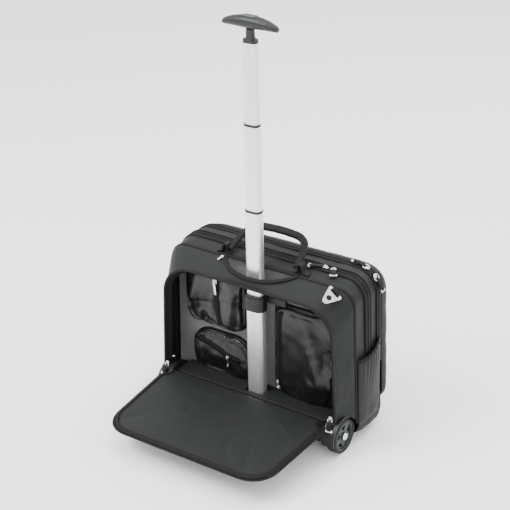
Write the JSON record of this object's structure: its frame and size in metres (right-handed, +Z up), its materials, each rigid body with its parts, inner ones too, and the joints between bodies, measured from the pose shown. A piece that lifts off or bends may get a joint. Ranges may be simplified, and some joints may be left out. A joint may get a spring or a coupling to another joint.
{
  "type": "rolling_laptop_case",
  "caption": "Black wheeled laptop case with its front flap open, silver telescopic handle with a T grip, pockets, carry handle and side wheels",
  "frame": {"origin": "On the floor, under the middle of the bounding box of the case and its open front flap", "axes": "+X to the right seen from the front opening, +Y from the front flap to the back of the case, +Z up along the handle"},
  "size_m": [0.4806, 0.4248, 0.8508],
  "materials": {
    "shell_fabric": "matte charcoal black woven polyester",
    "pocket_nylon": "shiny black nylon",
    "grey_lining": "matte mid-grey lining cloth",
    "black_trim": "black webbing and piping",
    "black_plastic": "moulded matte black",
    "wheel_plastic": "moulded charcoal green",
    "tyre_rubber": "black tyre rubber",
    "tube_aluminium": "satin anodised silver",
    "bright_metal": "bright plated",
    "divider_foam": "cloth-covered padding"
  },
  "bodies": {
    "case": {"axle_left": "bright_metal", "axle_right": "bright_metal", "base_tray": "black_plastic", "front_sill": "black_plastic", "collar_cap": "black_plastic", "divider_pad": "divider_foam", "fixed_tube": "tube_aluminium", "front_piping": "black_trim", "front_section": "shell_fabric", "handle_anchor_left": "black_plastic", "handle_anchor_right": "black_plastic", "laptop_sleeve": "divider_foam", "lining_board": "grey_lining", "lock_pin_fixed": "bright_metal", "lower_pocket": "pocket_nylon", "main_compartment": "shell_fabric", "organiser_panel": "pocket_nylon", "rear_compartment": "shell_fabric", "rear_foot_left": "tyre_rubber", "rear_foot_right": "tyre_rubber", "right_pocket": "pocket_nylon", "seam_piping": "black_trim", "side_pocket_left": "shell_fabric", "side_pocket_right": "shell_fabric", "strap_ring_loop": "black_trim", "tube_collar": "black_plastic", "tube_foot": "black_plastic", "upper_pocket": "pocket_nylon", "wheel_housing_left": "black_plastic", "wheel_housing_right": "black_plastic"},
    "lower_stage": {"lower_stage_tube": "tube_aluminium", "lower_stage_ring": "black_plastic", "lock_pin_lower": "bright_metal"},
    "middle_stage": {"middle_stage_tube": "tube_aluminium", "middle_stage_ring": "black_plastic", "lock_pin_middle": "bright_metal"},
    "upper_stage": {"upper_stage_tube": "tube_aluminium", "lock_pin_upper": "bright_metal", "grip_stem": "black_plastic", "t_grip": "black_plastic", "button_spring": "bright_metal"},
    "release_button": {"grip_button": "wheel_plastic", "release_rod": "bright_metal"},
    "wheel_left": {"tyre_left": "tyre_rubber", "wheel_hub_left": "wheel_plastic"},
    "wheel_right": {"tyre_right": "tyre_rubber", "wheel_hub_right": "wheel_plastic"},
    "handle": {"carry_handle": "black_trim"},
    "ring": {"strap_ring": "bright_metal"},
    "flap": {"front_flap": "shell_fabric", "flap_rivet_left": "black_plastic", "flap_rivet_right": "black_plastic"},
    "moving_slot_zip_slider": {"slot_zip_slider": "bright_metal"},
    "moving_main_zip_slider_left": {"main_zip_slider_left": "bright_metal"},
    "moving_main_zip_slider_right": {"main_zip_slider_right": "bright_metal"},
    "moving_rear_zip_slider_left": {"rear_zip_slider_left": "bright_metal"},
    "moving_rear_zip_slider_right": {"rear_zip_slider_right": "bright_metal"},
    "moving_upper_pocket_slider": {"upper_pocket_slider": "bright_metal"},
    "moving_lower_pocket_slider": {"lower_pocket_slider": "bright_metal"},
    "moving_right_pocket_slider": {"right_pocket_slider": "bright_metal"}
  },
  "joints": [
    {"name": "lower_stage_slide", "type": "slide", "parent": "case", "child": "lower_stage", "axis": [0, 0, 1], "range_m": [-0.1775, 0]},
    {"name": "middle_stage_slide", "type": "slide", "parent": "lower_stage", "child": "middle_stage", "axis": [0, 0, 1], "range_m": [-0.1715, 0]},
    {"name": "upper_stage_slide", "type": "slide", "parent": "middle_stage", "child": "upper_stage", "axis": [0, 0, 1], "range_m": [-0.1565, 0]},
    {"name": "release_button_press", "type": "slide", "parent": "upper_stage", "child": "release_button", "axis": [0, 0, -1], "range_m": [0, 0.003], "stiffness_N_per_m": 400, "springref_m": -0.003, "deforming": ["button_spring"]},
    {"name": "wheel_left_spin", "type": "hinge", "parent": "case", "child": "wheel_left", "pos_m": [-0.208, 0.04132, 0.036], "axis": [1, 0, 0], "continuous": true},
    {"name": "wheel_right_spin", "type": "hinge", "parent": "case", "child": "wheel_right", "pos_m": [0.208, 0.04132, 0.036], "axis": [1, 0, 0], "continuous": true},
    {"name": "carry_handle_lift", "type": "hinge", "parent": "case", "child": "handle", "pos_m": [0, 0.08832, 0.354], "axis": [1, 0, 0], "range_deg": [-16, 60]},
    {"name": "strap_ring_swing", "type": "hinge", "parent": "case", "child": "ring", "pos_m": [0.18767, 0.05446, 0.34168], "axis": [-0.768, 0.001, 0.6405], "range_deg": [0, 70]},
    {"name": "front_flap_hinge", "type": "hinge", "parent": "case", "child": "flap", "pos_m": [0, 0.02132, 0.069], "axis": [-1, 0, 0], "range_deg": [-11, 94]},
    {"name": "slot_zip_run", "type": "slide", "parent": "case", "child": "moving_slot_zip_slider", "axis": [1, 0, 0], "range_m": [0, 0.045]},
    {"name": "main_zip_left_run", "type": "slide", "parent": "case", "child": "moving_main_zip_slider_left", "axis": [-1, 0, 0], "range_m": [0, 0.245]},
    {"name": "main_zip_right_run", "type": "slide", "parent": "case", "child": "moving_main_zip_slider_right", "axis": [1, 0, 0], "range_m": [0, 0.03]},
    {"name": "upper_pocket_run", "type": "slide", "parent": "case", "child": "moving_upper_pocket_slider", "axis": [0, 0, -1], "range_m": [0, 0.072]},
    {"name": "lower_pocket_run", "type": "slide", "parent": "case", "child": "moving_lower_pocket_slider", "axis": [-0.9842, 0, 0.1772], "range_m": [0, 0.08]},
    {"name": "right_pocket_run", "type": "slide", "parent": "case", "child": "moving_right_pocket_slider", "axis": [0, 0, 1], "range_m": [0, 0.15]},
    {"name": "rear_zip_left_run", "type": "hinge", "parent": "case", "child": "moving_rear_zip_slider_left", "pos_m": [0.173, 0.16432, 0.303], "axis": [0, 1, 0], "range_deg": [-24, 0]},
    {"name": "rear_zip_right_run", "type": "hinge", "parent": "case", "child": "moving_rear_zip_slider_right", "pos_m": [0.173, 0.16432, 0.303], "axis": [0, 1, 0], "range_deg": [0, 36]}
  ]
}
